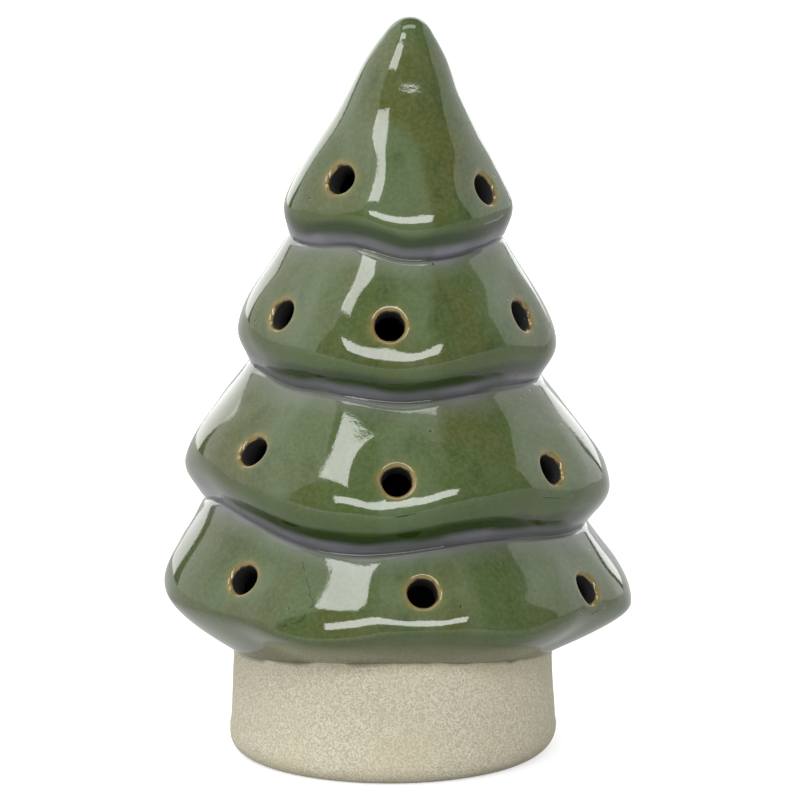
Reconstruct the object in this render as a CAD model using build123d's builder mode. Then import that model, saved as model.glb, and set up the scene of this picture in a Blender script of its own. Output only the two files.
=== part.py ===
"""Pierced ceramic tree standing over a plug-in coin-cell light unit. Sizes in mm, Z up, front is -Y."""
import os
from math import atan2, cos, degrees, exp, pi, radians, sin, sqrt
from build123d import *

os.makedirs("parts", exist_ok=True)

# Ceramic tree, outside
TIP_RADIUS = 5.2
TIP_END = 80.0          # the round tip is closed by a small flat from this steepness up, in degrees
TIP_HOLLOW = 0.6        # how far the top tier's side dips inside a straight line
TIP_LEAN = 3.4          # the tip bends over to +X
LEAN_POWER = 4.5
HEM_ROUND = 0.05        # share of the top tier's side that is rounded at its hem
FACE_SHAPE = (1.35, 1.12)      # ease of a tier's face at its hem and at the notch above
UNDER_SHAPE = (1.70, 1.25)     # ease of a tier's underside at its hem and at the notch
SKIRT_POWER = 1.35      # roundness of the lowest tier's underside
HEM_FLARE = 0.35        # a hem's drooping places also stand out by this share
COLLAR_HEIGHT = 23.2    # where the lowest tier meets the foot
COLLAR_RISE = 2.0       # the collar is higher at front and back
FOOT_TAPER = 1.0        # the foot narrows upwards by this much in radius
FOOT_RING_WIDTH = 7.7
FOOT_ROUND = 3.0
SKIRT_OVERLAP = 2.0     # the tiers reach this far into the foot
FOOT_UPRIGHT = 5.0      # the foot's side starts to taper here

# Tiers, lowest first: an underside from a notch up to a hem, then a face from the hem up to the next notch
SKIRT_HEIGHT = 11.0     # the lowest tier's underside, from the collar
FACE_1_HEIGHT = 17.3
UNDER_2_HEIGHT = 7.7
FACE_2_HEIGHT = 20.8
UNDER_3_HEIGHT = 6.4
FACE_3_HEIGHT = 20.2
UNDER_4_HEIGHT = 5.8
FACE_4_HEIGHT = 38.4    # up to the tip
HEM_1_RADIUS = 47.6
HEM_2_RADIUS = 42.6
HEM_3_RADIUS = 32.0
HEM_4_RADIUS = 23.2
NOTCH_2_DEPTH = 3.9     # how far in each notch is from the hem above it
NOTCH_3_DEPTH = 2.4
NOTCH_4_DEPTH = 1.3

# Each hem rises and droops as it goes round: (azimuth from the front towards +X, rise in wave units)
WAVE_UNIT = 1.0
WAVE_1 = ((-97, 2.8), (-70, 0.2), (-45, 1.6), (-20, -1.0), (8, 1.6), (34, -0.6), (58, 1.4),
          (88, -2.6), (112, 1.2), (138, -1.2), (164, 1.2), (190, -1.2), (214, 1.2), (238, -1.2))
WAVE_2 = ((-98, -0.2), (-66, 3.9), (-12, -1.0), (34, 1.8), (90, -4.2), (138, 2.0), (182, -1.5), (222, 2.2))
WAVE_3 = ((-96, 0.3), (-62, 2.6), (4, -0.7), (46, 1.4), (88, -2.4), (130, 1.5), (175, -1.2), (220, 1.8))
WAVE_4 = ((-85, -0.1), (-30, 2.6), (8, -0.7), (58, 0.8), (105, -1.0), (150, 1.6), (195, -1.0), (235, 1.5))

# Light holes on each tier's face: (azimuth, share of the face's height above its hem)
HOLE_DIAMETER = 6.0
HOLE_LEAD = 2.0         # each hole's cut starts this far outside the surface
HOLE_REACH = 2.2        # and goes in by this many walls
HOLES_1 = ((-44, 0.51), (8, 0.51), (61, 0.28), (112, 0.46), (163, 0.46), (214, 0.46), (265, 0.46))
HOLES_2 = ((-48, 0.42), (1, 0.28), (53, 0.23), (105, 0.27), (157, 0.31), (208, 0.31), (260, 0.31))
HOLES_3 = ((-53, 0.375), (-2, 0.375), (62, 0.325), (123, 0.35), (184, 0.35), (246, 0.35))
HOLES_4 = ((-39, 0.225), (60, 0.145), (147, 0.18), (234, 0.18))

# How finely the tree's outside is drawn
SECTION_SPACING = 2.6
SECTION_POINTS = 48
TIP_STEPS = 5

# Ceramic tree, inside
WALL = 4.0
FOOT_WALL = 5.5
FLOOR_THICKNESS = 4.5
TIP_SOLID = 16.0        # solid clay above the hollow
JOIN_SHIFT = 0.9        # the tiers part this far above each notch, and the foot this far below the collar

# Coin cell and its door
CELL_DIAMETER = 20.0
CELL_HEIGHT = 3.2
CELL_CLEARANCE = 0.3
CELL_STEP = 0.3         # the narrower pole on top
CELL_RIM = 1.3
CELL_EDGE = 0.5
DOOR_MARGIN = 2.0       # the door is wider than the cell all round
DOOR_CLEARANCE = 0.2
LUG_REACH = 1.6
LUG_HEIGHT = 1.2
LUG_WIDTH = 9.0
LUG_GAP = 0.2
LUG_CLEARANCE = 0.5
DOOR_TURN = 60.0        # from locked to free
DOOR_EDGE = 0.3
COIN_SLOT_WIDTH = 1.8
COIN_SLOT_DEPTH = 0.9
COIN_SLOT_SHARE = 0.7   # the slot's length as a share of the door's
WELL_WALL = 1.2
WELL_OFFSET = 3.0       # the cell sits this far to -X, to leave room for the switch

# Light unit
UNDERSIDE_GAP = 1.2     # the plate stays clear of the table
PLATE_THICKNESS = 2.0
PLATE_LAP = 2.8         # the plate reaches past the socket
PLATE_CLEARANCE = 0.6
PLATE_EDGE = 0.5
CUP_GAP = 0.8
CUP_WALL = 1.4
CUP_GROOVE = 0.6        # the cup's rim stands in a groove of the plate
CUP_EDGE = 0.9
POST_RADIUS = 1.0
POST_INSET = 1.5
RING_THICKNESS = 0.8
RING_FLANGE = 0.8
RING_RIB = 0.7
RING_SLEEVE = 5.0
RIB_PLACES = (0.2, 0.45, 0.7)  # as shares of the sleeve
RIB_BELOW = 0.4
RIB_ABOVE = 0.6
RIB_TIP = 0.2
ROOT = 0.2              # a rib or post reaches this far into what carries it
FIT_GAP = 0.1
CONTACT_HEIGHT = 1.4    # from the cell's top to the board
LEAF_THICKNESS = 0.3
LEAF_WIDTH = 3.0
LEAF_PLACES = (-7.5, -3.5, 2.0, 3.6, 5.5)  # its bends, along X from the cell's axis
CLIP_GAP = 0.05
CLIP_FOOT = 2.8
CLIP_LIFT = 0.8
BOARD_THICKNESS = 1.2
BOARD_WIDTH = 15.4
HEADROOM = 2.2          # from the board to the cup's roof
LED_DIAMETER = 5.0
LED_HEIGHT = 8.6
LED_CLEARANCE = 0.3
LED_FLANGE = 0.4
LED_FLANGE_HEIGHT = 1.0
LEAD_SIZE = 0.5
LEAD_PITCH = 2.54
LEAD_TAIL = 0.6         # a lead or pin stands this far out of the board
CAP_DIAMETER = 16.0
CAP_WALL = 1.0
CAP_HEIGHT = 14.0
CAP_SEAT = 0.6

# Slide switch
SWITCH_LENGTH = 8.6
SWITCH_WIDTH = 3.8
SWITCH_HEIGHT = 3.5
SWITCH_WALL = 0.6
SWITCH_GAP = 0.8
SWITCH_TRAVEL = 2.0
KNOB_SIZE = 1.6
KNOB_CLEARANCE = 0.25
SHOE_LENGTH = 3.6
SHOE_CLEARANCE = 0.15
KNOB_PROUD = 0.6        # how far the knob stands below the plate
PIN_PITCH = 2.5

# Screws that close the light unit
SCREW_DIAMETER = 1.7
SCREW_LENGTH = 7.0
SCREW_HEAD_DIAMETER = 3.6
SCREW_HEAD_HEIGHT = 1.1
SCREW_CLEARANCE = 0.2
DRIVE_LENGTH = 2.2
DRIVE_WIDTH = 0.5
DRIVE_DEPTH = 0.6
BOSS_RADIUS = 2.3
BOSS_ANGLE = 45.0

# Radii that follow from the cell outwards
cell_radius = CELL_DIAMETER / 2
door_radius = cell_radius + DOOR_MARGIN
lug_radius = door_radius + LUG_REACH
well_inner = lug_radius + 2 * DOOR_CLEARANCE
well_outer = well_inner + WELL_WALL
cup_inner = WELL_OFFSET + well_outer + CUP_GAP
cup_outer = cup_inner + CUP_WALL
ring_inner = cup_outer + FIT_GAP
ring_outer = ring_inner + RING_THICKNESS
socket_radius = ring_outer + RING_RIB + FIT_GAP
plate_radius = socket_radius + PLATE_LAP
recess_radius = plate_radius + PLATE_CLEARANCE
foot_radius = recess_radius + FOOT_RING_WIDTH
collar_radius = foot_radius - FOOT_TAPER

# Heights that follow from the table upwards
plate_bottom = UNDERSIDE_GAP
plate_top = plate_bottom + PLATE_THICKNESS
lug_bottom = plate_top + LUG_GAP
cell_bottom = lug_bottom + LUG_HEIGHT
cell_top = cell_bottom + CELL_HEIGHT
board_bottom = cell_top + CONTACT_HEIGHT
board_top = board_bottom + BOARD_THICKNESS
cup_roof = board_top + HEADROOM
cup_top = cup_roof + CUP_WALL
floor_bottom = plate_top + RING_FLANGE
floor_top = floor_bottom + FLOOR_THICKNESS
switch_bottom = board_bottom - SWITCH_HEIGHT
switch_x = well_outer - WELL_OFFSET + SWITCH_GAP + SWITCH_WIDTH / 2
boss_place = cup_inner - BOSS_RADIUS - CUP_GAP
boss_points = [
    (boss_place * cos(radians(BOSS_ANGLE)), side * boss_place * sin(radians(BOSS_ANGLE))) for side in (-1, 1)
]

hem_1 = COLLAR_HEIGHT + SKIRT_HEIGHT
notch_2 = hem_1 + FACE_1_HEIGHT
hem_2 = notch_2 + UNDER_2_HEIGHT
notch_3 = hem_2 + FACE_2_HEIGHT
hem_3 = notch_3 + UNDER_3_HEIGHT
notch_4 = hem_3 + FACE_3_HEIGHT
hem_4 = notch_4 + UNDER_4_HEIGHT
height = hem_4 + FACE_4_HEIGHT

# Each tier's notch, and its hem with the hem's wave
TIERS = (
    (None, None, hem_1, HEM_1_RADIUS, WAVE_1),
    (notch_2, HEM_2_RADIUS - NOTCH_2_DEPTH, hem_2, HEM_2_RADIUS, WAVE_2),
    (notch_3, HEM_3_RADIUS - NOTCH_3_DEPTH, hem_3, HEM_3_RADIUS, WAVE_3),
    (notch_4, HEM_4_RADIUS - NOTCH_4_DEPTH, hem_4, HEM_4_RADIUS, WAVE_4),
)
hole_places = [(azimuth, hem_1 + share * FACE_1_HEIGHT) for azimuth, share in HOLES_1]
hole_places += [(azimuth, hem_2 + share * FACE_2_HEIGHT) for azimuth, share in HOLES_2]
hole_places += [(azimuth, hem_3 + share * FACE_3_HEIGHT) for azimuth, share in HOLES_3]
hole_places += [(azimuth, hem_4 + share * FACE_4_HEIGHT) for azimuth, share in HOLES_4]
tip_centre = height - TIP_RADIUS
tip_slope = atan2(HEM_4_RADIUS - TIP_RADIUS, tip_centre - hem_4)
tip_seam_height = tip_centre + TIP_RADIUS * sin(tip_slope)
tip_seam_radius = TIP_RADIUS * cos(tip_slope)
foot_top = COLLAR_HEIGHT + COLLAR_RISE + SKIRT_OVERLAP / 2


def lean(z):
    """Sideways place of the tree's middle at height z."""
    return TIP_LEAN * (z / height) ** LEAN_POWER


def wave_rise(wave, azimuth):
    """Height of a hem's wave, going smoothly from each high place to the next low one."""
    knots = sorted((place % 360, value * WAVE_UNIT) for place, value in wave)
    knots = [(knots[-1][0] - 360, knots[-1][1])] + knots + [(knots[0][0] + 360, knots[0][1])]
    for (start, low), (end, high) in zip(knots, knots[1:]):
        if start <= azimuth % 360 <= end:
            return low + (high - low) * (1 - cos(pi * (azimuth % 360 - start) / (end - start))) / 2


def ease(t, first, second):
    return t**first / (t**first + (1 - t) ** second)


def levels(azimuth):
    """Height and radius of the collar, each hem and notch, and the tip's seam, at one azimuth."""
    places = [(COLLAR_HEIGHT + COLLAR_RISE * cos(radians(2 * azimuth)), collar_radius)]
    for notch_height, notch_radius, hem_height, hem_radius, wave in TIERS:
        rise = wave_rise(wave, azimuth)
        if notch_height:
            places.append((notch_height + rise, notch_radius - HEM_FLARE * rise / 2))
        places.append((hem_height + rise, hem_radius - HEM_FLARE * rise))
    places.append((tip_seam_height, tip_seam_radius))
    return places


def tree_radius(azimuth, z):
    """Outside radius of the glazed tiers."""
    if z > tip_seam_height:
        return sqrt(TIP_RADIUS**2 - (z - tip_centre) ** 2)
    places = levels(azimuth)
    (z0, r0), (z1, r1) = places[0], places[1]
    if z < z0:
        return r0 - (z0 - z)
    if z <= z1:
        return r1 - (r1 - r0) * ((z1 - z) / (z1 - z0)) ** SKIRT_POWER
    for index in range(1, len(places) - 1):
        (z0, r0), (z1, r1) = places[index], places[index + 1]
        if z > z1 and index < len(places) - 2:
            continue
        t = min(1.0, (z - z0) / (z1 - z0))
        if index == len(places) - 2:
            along = (t - HEM_ROUND * (1 - exp(-t / HEM_ROUND))) / (1 - HEM_ROUND)
            return r0 + (r1 - r0) * along - TIP_HOLLOW * sin(pi * t)
        if index % 2 == 0:
            return r1 + (r0 - r1) * ease(1 - t, *UNDER_SHAPE)
        return r0 + (r1 - r0) * ease(t, *FACE_SHAPE)


def tree_point(azimuth, z):
    radius = tree_radius(azimuth, z)
    return Vector(lean(z) + radius * sin(radians(azimuth)), -radius * cos(radians(azimuth)), z)


def hole_plane(azimuth, z):
    """A plane square to the surface and just outside it, with its normal pointing outwards."""
    step = HOLE_DIAMETER / 6
    across = tree_point(azimuth + 3, z) - tree_point(azimuth - 3, z)
    upwards = tree_point(azimuth, z + step) - tree_point(azimuth, z - step)
    return Plane(tree_point(azimuth, z), x_dir=across, z_dir=across.cross(upwards)).offset(HOLE_LEAD)


# Heights of the loft's sections: closer together round each notch and hem
section_heights = [COLLAR_HEIGHT - COLLAR_RISE - SKIRT_OVERLAP]
bands = [COLLAR_HEIGHT - COLLAR_RISE]
for tier in TIERS:
    bands += [level for level in (tier[0], tier[2]) if level]
bands.append(tip_seam_height)
for low, high in zip(bands, bands[1:]):
    steps = max(3, round((high - low) / SECTION_SPACING))
    section_heights += [low + (high - low) * step / steps for step in range(steps)]
seam_angle = degrees(tip_slope)
section_heights += [
    tip_centre + TIP_RADIUS * sin(radians(seam_angle + (TIP_END - seam_angle) * step / TIP_STEPS))
    for step in range(TIP_STEPS + 1)
]

# The whole casting
with BuildPart() as casting:
    for z in section_heights:
        points = [tree_point(360 * k / SECTION_POINTS, z) for k in range(SECTION_POINTS)]
        even = [k / SECTION_POINTS for k in range(SECTION_POINTS + 1)]
        with BuildSketch(Plane.XY.offset(z)) as section:
            with BuildLine(Plane.XY.offset(z)) as outline:
                add(Edge.make_spline(points, periodic=True, parameters=even))
            make_face()
    loft(ruled=True)
    # foot
    with BuildSketch(Plane.XZ) as foot_half:
        with BuildLine():
            Polyline(
                (0, 0),
                (foot_radius, 0),
                (foot_radius, FOOT_UPRIGHT),
                (collar_radius, foot_top),
                (0, foot_top),
                close=True,
            )
        make_face()
        fillet(foot_half.vertices().group_by(Axis.X)[-1].sort_by(Axis.Y)[0], FOOT_ROUND)
    revolve(axis=Axis.Z)
    # hollow inside
    with BuildSketch(Plane.XZ) as hollow_half:
        with BuildLine():
            inside = [(0, floor_top), (foot_radius - FOOT_WALL, floor_top)]
            inside.append((collar_radius - FOOT_WALL, COLLAR_HEIGHT))
            for notch_height, notch_radius, hem_height, hem_radius, wave in TIERS:
                dip = HEM_FLARE * WAVE_UNIT * max(value for _, value in wave)
                if notch_height:
                    inside.append((notch_radius - dip - WALL, notch_height))
                inside.append((hem_radius - dip - WALL, hem_height))
            inside.append((TIP_RADIUS / 2, height - TIP_SOLID))
            Polyline(*inside, (0, height - TIP_SOLID), close=True)
        make_face()
    revolve(axis=Axis.Z, mode=Mode.SUBTRACT)
    # recess and socket for the light unit
    with BuildSketch():
        Circle(recess_radius)
    extrude(amount=floor_bottom, mode=Mode.SUBTRACT)
    with BuildSketch(Plane.XY.offset(floor_bottom)):
        Circle(socket_radius)
    extrude(amount=FLOOR_THICKNESS, mode=Mode.SUBTRACT)
    # light holes, square to the surface
    with BuildSketch(*[hole_plane(*place) for place in hole_places]):
        Circle(HOLE_DIAMETER / 2)
    extrude(amount=-HOLE_LEAD - HOLE_REACH * WALL, mode=Mode.SUBTRACT)

# The casting as its bare foot and four tiers, so that each is a plain ring round the light chamber
ring_names = ("stoneware_foot", "lowest_tier", "second_tier", "third_tier", "top_tier")
joins = [COLLAR_HEIGHT - COLLAR_RISE - JOIN_SHIFT]
joins += [notch + JOIN_SHIFT for notch in (notch_2, notch_3, notch_4)]
for name, low, high in zip(ring_names, [0.0] + joins, joins + [height]):
    with BuildPart() as ring:
        add(casting.part)
        if low > 0:
            split(bisect_by=Plane.XY.offset(low), keep=Keep.TOP)
        if high < height:
            split(bisect_by=Plane.XY.offset(high), keep=Keep.BOTTOM)
    ring.part.label = name
    export_step(ring.part, f"parts/{name}.step")

# Soft ring that grips the socket
with BuildPart() as plug_ring:
    with BuildSketch(Plane.XY.offset(plate_top)):
        Circle(plate_radius - PLATE_CLEARANCE)
        Circle(ring_inner, mode=Mode.SUBTRACT)
    extrude(amount=RING_FLANGE)
    with BuildSketch(Plane.XY.offset(floor_bottom)):
        Circle(ring_outer)
        Circle(ring_inner, mode=Mode.SUBTRACT)
    extrude(amount=RING_SLEEVE)
    with BuildSketch(Plane.XZ):
        for share in RIB_PLACES:
            level = floor_bottom + share * RING_SLEEVE
            with BuildLine():
                Polyline(
                    (ring_outer - ROOT, level - RIB_BELOW),
                    (ring_outer + RING_RIB, level - RIB_TIP / 2),
                    (ring_outer + RING_RIB, level + RIB_TIP / 2),
                    (ring_outer - ROOT, level + RIB_ABOVE),
                    close=True,
                )
            make_face()
    revolve(axis=Axis.Z)
plug_ring.part.label = "plug_ring"
export_step(plug_ring.part, "parts/plug_ring.step")


def well_plane(z):
    """A level plane with its origin on the cell's axis."""
    return Plane((-WELL_OFFSET, 0, z))


# Bottom plate with the cell's well
with BuildPart() as bottom_plate:
    with BuildSketch(Plane.XY.offset(plate_bottom)):
        Circle(plate_radius)
    extrude(amount=PLATE_THICKNESS)
    chamfer(bottom_plate.edges().group_by(Axis.Z)[0], PLATE_EDGE)
    with BuildSketch(well_plane(plate_top)):
        Circle(well_outer)
    extrude(amount=board_bottom - plate_top)
    with BuildSketch(well_plane(plate_top)):
        Circle(well_inner)
    extrude(amount=board_bottom - plate_top, mode=Mode.SUBTRACT)
    with BuildSketch(well_plane(plate_bottom)):
        Circle(door_radius + DOOR_CLEARANCE)
    extrude(amount=PLATE_THICKNESS, mode=Mode.SUBTRACT)
    # notches that let the door's lugs in
    with BuildSketch(well_plane(plate_bottom)):
        Circle(lug_radius + DOOR_CLEARANCE)
        Rectangle(LUG_WIDTH + 2 * LUG_CLEARANCE, 2 * well_inner, rotation=-DOOR_TURN, mode=Mode.INTERSECT)
    extrude(amount=PLATE_THICKNESS, mode=Mode.SUBTRACT)
    # ribs that keep the cell central
    rib_start = cell_radius + CELL_CLEARANCE
    with BuildSketch(well_plane(cell_bottom + CELL_CLEARANCE)):
        with PolarLocations((rib_start + well_inner + ROOT) / 2, 4, start_angle=45):
            Rectangle(well_inner + ROOT - rib_start, WELL_WALL)
    extrude(amount=board_bottom - cell_bottom - CELL_CLEARANCE)
    # groove for the cup, slot for the switch knob, holes for the screws
    with BuildSketch(Plane.XY.offset(plate_top)):
        Circle(cup_outer + FIT_GAP)
        Circle(cup_inner - FIT_GAP, mode=Mode.SUBTRACT)
    extrude(amount=-CUP_GROOVE, mode=Mode.SUBTRACT)
    with BuildSketch(Plane.XY.offset(plate_bottom)):
        with Locations((switch_x, 0)):
            Rectangle(KNOB_SIZE + 2 * KNOB_CLEARANCE, KNOB_SIZE + SWITCH_TRAVEL + 2 * KNOB_CLEARANCE)
        with Locations(*boss_points):
            Circle(SCREW_DIAMETER / 2 + SCREW_CLEARANCE)
    extrude(amount=PLATE_THICKNESS, mode=Mode.SUBTRACT)
    with BuildSketch(Plane.XY.offset(plate_bottom)):
        with Locations(*boss_points):
            Circle(SCREW_HEAD_DIAMETER / 2 + SCREW_CLEARANCE)
    extrude(amount=SCREW_HEAD_HEIGHT + FIT_GAP, mode=Mode.SUBTRACT)
bottom_plate.part.label = "bottom_plate"
export_step(bottom_plate.part, "parts/bottom_plate.step")

# Battery door: a quarter-turn disc that carries the cell
with BuildPart() as battery_door:
    with BuildSketch(well_plane(plate_bottom)):
        Circle(door_radius)
    extrude(amount=cell_bottom - plate_bottom)
    chamfer(battery_door.edges().group_by(Axis.Z)[0], DOOR_EDGE)
    with BuildSketch(well_plane(lug_bottom)):
        Circle(lug_radius)
        Rectangle(LUG_WIDTH, 2 * well_inner, mode=Mode.INTERSECT)
    extrude(amount=LUG_HEIGHT)
    with BuildSketch(well_plane(plate_top)):
        Circle(cell_radius - DOOR_MARGIN)
    extrude(amount=cell_bottom - plate_top, mode=Mode.SUBTRACT)
    with BuildSketch(well_plane(plate_bottom)):
        SlotOverall(COIN_SLOT_SHARE * 2 * door_radius, COIN_SLOT_WIDTH)
    extrude(amount=COIN_SLOT_DEPTH, mode=Mode.SUBTRACT)
battery_door.part.label = "battery_door"
export_step(battery_door.part, "parts/battery_door.step")

with BuildPart() as coin_cell:
    with BuildSketch(well_plane(cell_bottom)):
        Circle(cell_radius)
    extrude(amount=CELL_HEIGHT - CELL_STEP)
    chamfer(coin_cell.edges().group_by(Axis.Z)[0], CELL_EDGE)
    with BuildSketch(well_plane(cell_bottom)):
        Circle(cell_radius - CELL_RIM)
    extrude(amount=CELL_HEIGHT)
coin_cell.part.label = "coin_cell"
export_step(coin_cell.part, "parts/coin_cell.step")

# Lamp housing: an upturned cup over the works
post_y = BOARD_WIDTH / 2 - POST_INSET
post_reach = sqrt(((well_inner + well_outer) / 2) ** 2 - post_y**2)
with BuildPart() as lamp_housing:
    with BuildSketch(Plane.XY.offset(plate_top - CUP_GROOVE)):
        Circle(cup_outer)
    extrude(amount=cup_top - plate_top + CUP_GROOVE)
    chamfer(lamp_housing.edges().group_by(Axis.Z)[-1], CUP_EDGE)
    with BuildSketch(Plane.XY.offset(plate_top - CUP_GROOVE)):
        Circle(cup_inner)
    extrude(amount=cup_roof - plate_top + CUP_GROOVE, mode=Mode.SUBTRACT)
    # screw bosses, and posts that hold the board down
    with BuildSketch(Plane.XY.offset(plate_top)):
        with Locations(*boss_points):
            Circle(BOSS_RADIUS)
    extrude(amount=cup_roof - plate_top + ROOT)
    with BuildSketch(Plane.XY.offset(plate_top)):
        with Locations(*boss_points):
            Circle(SCREW_DIAMETER / 2 + FIT_GAP)
    extrude(amount=SCREW_LENGTH, mode=Mode.SUBTRACT)
    with BuildSketch(Plane.XY.offset(board_top)):
        with Locations((-WELL_OFFSET, 0)):
            with GridLocations(2 * post_reach, 2 * post_y, 2, 2):
                Circle(POST_RADIUS)
    extrude(amount=HEADROOM + ROOT)
    # opening for the lamp, and the light cap's seat
    with BuildSketch(Plane.XY.offset(cup_roof)):
        Circle(LED_DIAMETER / 2 + LED_CLEARANCE)
    extrude(amount=CUP_WALL, mode=Mode.SUBTRACT)
    with BuildSketch(Plane.XY.offset(cup_top)):
        Circle(CAP_DIAMETER / 2 + FIT_GAP)
        Circle(CAP_DIAMETER / 2 - CAP_WALL - FIT_GAP, mode=Mode.SUBTRACT)
    extrude(amount=-CAP_SEAT, mode=Mode.SUBTRACT)
lamp_housing.part.label = "lamp_housing"
export_step(lamp_housing.part, "parts/lamp_housing.step")


# Frosted light cap
cap_radius = CAP_DIAMETER / 2
cap_inner = cap_radius - CAP_WALL
cap_bottom = cup_top - CAP_SEAT
cap_spring = cup_top + CAP_HEIGHT - cap_radius
with BuildPart() as light_cap:
    with BuildSketch(Plane.XZ):
        with BuildLine():
            Line((cap_inner, cap_spring), (cap_inner, cap_bottom))
            Line((cap_inner, cap_bottom), (cap_radius, cap_bottom))
            Line((cap_radius, cap_bottom), (cap_radius, cap_spring))
            CenterArc((0, cap_spring), cap_radius, 0, 90)
            Line((0, cap_spring + cap_radius), (0, cap_spring + cap_inner))
            CenterArc((0, cap_spring), cap_inner, 0, 90)
        make_face()
    revolve(axis=Axis.Z)
light_cap.part.label = "light_cap"
export_step(light_cap.part, "parts/light_cap.step")

lead_points = [(0, -LEAD_PITCH / 2), (0, LEAD_PITCH / 2)]
pin_points = [(switch_x, place * PIN_PITCH) for place in (-1, 0, 1)]
with BuildPart() as circuit_board:
    with BuildSketch(Plane.XY.offset(board_bottom)):
        Circle(cup_inner - CUP_GAP)
        Rectangle(2 * cup_inner, BOARD_WIDTH, mode=Mode.INTERSECT)
        with Locations(*lead_points, *pin_points):
            Circle(LEAD_SIZE, mode=Mode.SUBTRACT)
    extrude(amount=BOARD_THICKNESS)
circuit_board.part.label = "circuit_board"
export_step(circuit_board.part, "parts/circuit_board.step")

led_radius = LED_DIAMETER / 2
led_spring = board_top + LED_HEIGHT - led_radius
with BuildPart() as led_lamp:
    with BuildSketch(Plane.XZ):
        with BuildLine():
            Line((0, led_spring + led_radius), (0, board_top))
            Line((0, board_top), (led_radius, board_top))
            Line((led_radius, board_top), (led_radius, led_spring))
            CenterArc((0, led_spring), led_radius, 0, 90)
        make_face()
    revolve(axis=Axis.Z)
    with BuildSketch(Plane.XY.offset(board_top)):
        Circle(led_radius + LED_FLANGE)
    extrude(amount=LED_FLANGE_HEIGHT)
led_lamp.part.label = "led_lamp"
export_step(led_lamp.part, "parts/led_lamp.step")

with BuildPart() as led_leads:
    with BuildSketch(Plane.XY.offset(board_bottom - LEAD_TAIL)):
        with Locations(*lead_points):
            Rectangle(LEAD_SIZE, LEAD_SIZE)
    extrude(amount=BOARD_THICKNESS + LEAD_TAIL)
led_leads.part.label = "led_leads"
export_step(led_leads.part, "parts/led_leads.step")


# Sprung leaf on the cell's top
leaf_y = cell_radius / 2
leaf_top = board_bottom - LEAF_THICKNESS
leaf_heights = (leaf_top, leaf_top, cell_top, cell_top, cell_top + CONTACT_HEIGHT / 2)
leaf_under = [(place - WELL_OFFSET, z) for place, z in zip(LEAF_PLACES, leaf_heights)]
leaf_over = [(x, z + LEAF_THICKNESS) for x, z in reversed(leaf_under)]
with BuildPart() as negative_contact:
    with BuildSketch(Plane.XZ.offset(leaf_y - LEAF_WIDTH / 2)):
        with BuildLine():
            Polyline(*leaf_under, *leaf_over, close=True)
        make_face()
    extrude(amount=LEAF_WIDTH)
negative_contact.part.label = "negative_contact"
export_step(negative_contact.part, "parts/negative_contact.step")

# Upright clip against the cell's side
clip_x = cell_radius - WELL_OFFSET + CLIP_GAP
with BuildPart() as positive_contact:
    with BuildSketch(Plane.XZ.offset(-LEAF_WIDTH / 2)):
        with BuildLine():
            Polyline(
                (clip_x, board_bottom),
                (clip_x, cell_bottom + CLIP_LIFT),
                (clip_x + LEAF_THICKNESS, cell_bottom + CLIP_LIFT),
                (clip_x + LEAF_THICKNESS, board_bottom - LEAF_THICKNESS),
                (clip_x + CLIP_FOOT, board_bottom - LEAF_THICKNESS),
                (clip_x + CLIP_FOOT, board_bottom),
                close=True,
            )
        make_face()
    extrude(amount=LEAF_WIDTH)
positive_contact.part.label = "positive_contact"
export_step(positive_contact.part, "parts/positive_contact.step")

# Slide switch: a hollow body under the board, its pins and its knob
with BuildPart() as switch_body:
    with BuildSketch(Plane((switch_x, 0, switch_bottom))):
        Rectangle(SWITCH_WIDTH, SWITCH_LENGTH)
    extrude(amount=SWITCH_HEIGHT)
    with BuildSketch(Plane((switch_x, 0, switch_bottom + SWITCH_WALL))):
        Rectangle(SWITCH_WIDTH - 2 * SWITCH_WALL, SWITCH_LENGTH - 2 * SWITCH_WALL)
    extrude(amount=SWITCH_HEIGHT - 2 * SWITCH_WALL, mode=Mode.SUBTRACT)
    with BuildSketch(Plane((switch_x, 0, switch_bottom))):
        Rectangle(KNOB_SIZE + 2 * KNOB_CLEARANCE, KNOB_SIZE + SWITCH_TRAVEL + 2 * KNOB_CLEARANCE)
    extrude(amount=SWITCH_WALL, mode=Mode.SUBTRACT)
switch_body.part.label = "switch_body"
export_step(switch_body.part, "parts/switch_body.step")

with BuildPart() as switch_pins:
    with BuildSketch(Plane.XY.offset(board_bottom)):
        with Locations(*pin_points):
            Rectangle(LEAD_SIZE, LEAD_SIZE)
    extrude(amount=BOARD_THICKNESS + LEAD_TAIL)
switch_pins.part.label = "switch_pins"
export_step(switch_pins.part, "parts/switch_pins.step")

knob_y = -SWITCH_TRAVEL / 2
shoe_bottom = switch_bottom + SWITCH_WALL + FIT_GAP
with BuildPart() as switch_slider:
    with BuildSketch(Plane((switch_x, knob_y, shoe_bottom))):
        Rectangle(SWITCH_WIDTH - 2 * (SWITCH_WALL + SHOE_CLEARANCE), SHOE_LENGTH)
    extrude(amount=SWITCH_HEIGHT - 2 * SWITCH_WALL - 3 * FIT_GAP)
    with BuildSketch(Plane((switch_x, knob_y, plate_bottom - KNOB_PROUD))):
        Rectangle(KNOB_SIZE, KNOB_SIZE)
    extrude(amount=shoe_bottom - plate_bottom + KNOB_PROUD)
switch_slider.part.label = "switch_slider"
export_step(switch_slider.part, "parts/switch_slider.step")

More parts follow.
